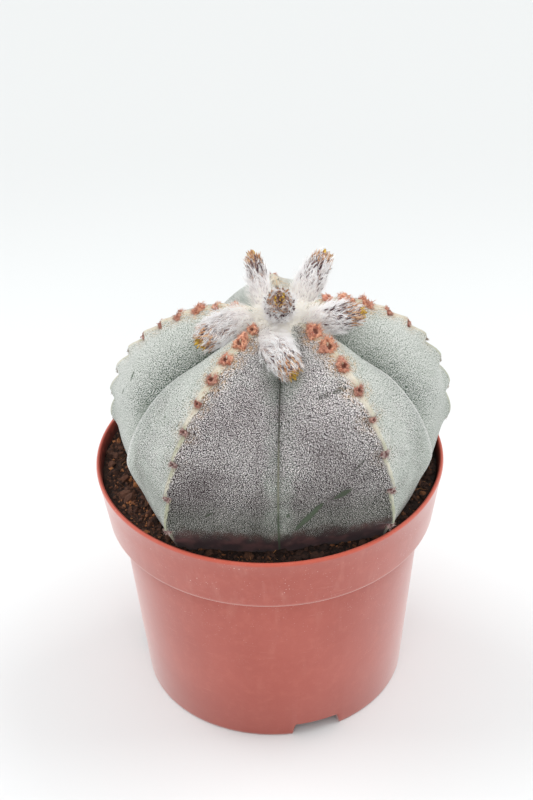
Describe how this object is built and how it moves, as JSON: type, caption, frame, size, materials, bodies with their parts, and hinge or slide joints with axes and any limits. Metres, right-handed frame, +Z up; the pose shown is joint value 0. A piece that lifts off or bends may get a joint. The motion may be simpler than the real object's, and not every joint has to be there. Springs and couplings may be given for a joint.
{
  "type": "potted bishop's cap cactus",
  "caption": "Low ribbed cactus with notched rib crests, woolly areoles and hairy flower buds, growing in soil in a round tapered plastic nursery pot.",
  "frame": {"origin": "on the surface under the pot, below the middle of the whole plant and pot; the pot's own axis is 1.4 mm towards -X", "axes": "+Z up; the pictured side faces -Y, with +X to the viewer's right"},
  "size_m": [0.1072, 0.105, 0.1455],
  "materials": {
    "pot_plastic": "satin moulded terracotta-coloured plastic, brighter on the lip, with faint scuffs and dried water spots",
    "peat_soil": "dark crumbly peat with orange-brown fibres",
    "cactus_skin": "grey-green and purple-grey skin under dense white flecks, pale cream along the rib crests",
    "crown_wool": "cream-white plant wool",
    "bud_wool": "long grey-white hair over purple-brown scale tips",
    "petal_tips": "yellow petal tips edged dark brown"
  },
  "bodies": {
    "root": {"pot": "pot_plastic", "soil": "peat_soil", "cactus_body": "cactus_skin", "crown_wool": "crown_wool", "bud_1": "bud_wool", "bud_1_petals": "petal_tips", "bud_2": "bud_wool", "bud_2_petals": "petal_tips", "bud_3": "bud_wool", "bud_3_petals": "petal_tips", "bud_4": "bud_wool", "bud_4_petals": "petal_tips", "bud_5": "bud_wool", "bud_5_petals": "petal_tips", "bud_6": "bud_wool", "bud_6_petals": "petal_tips"}
  },
  "joints": []
}
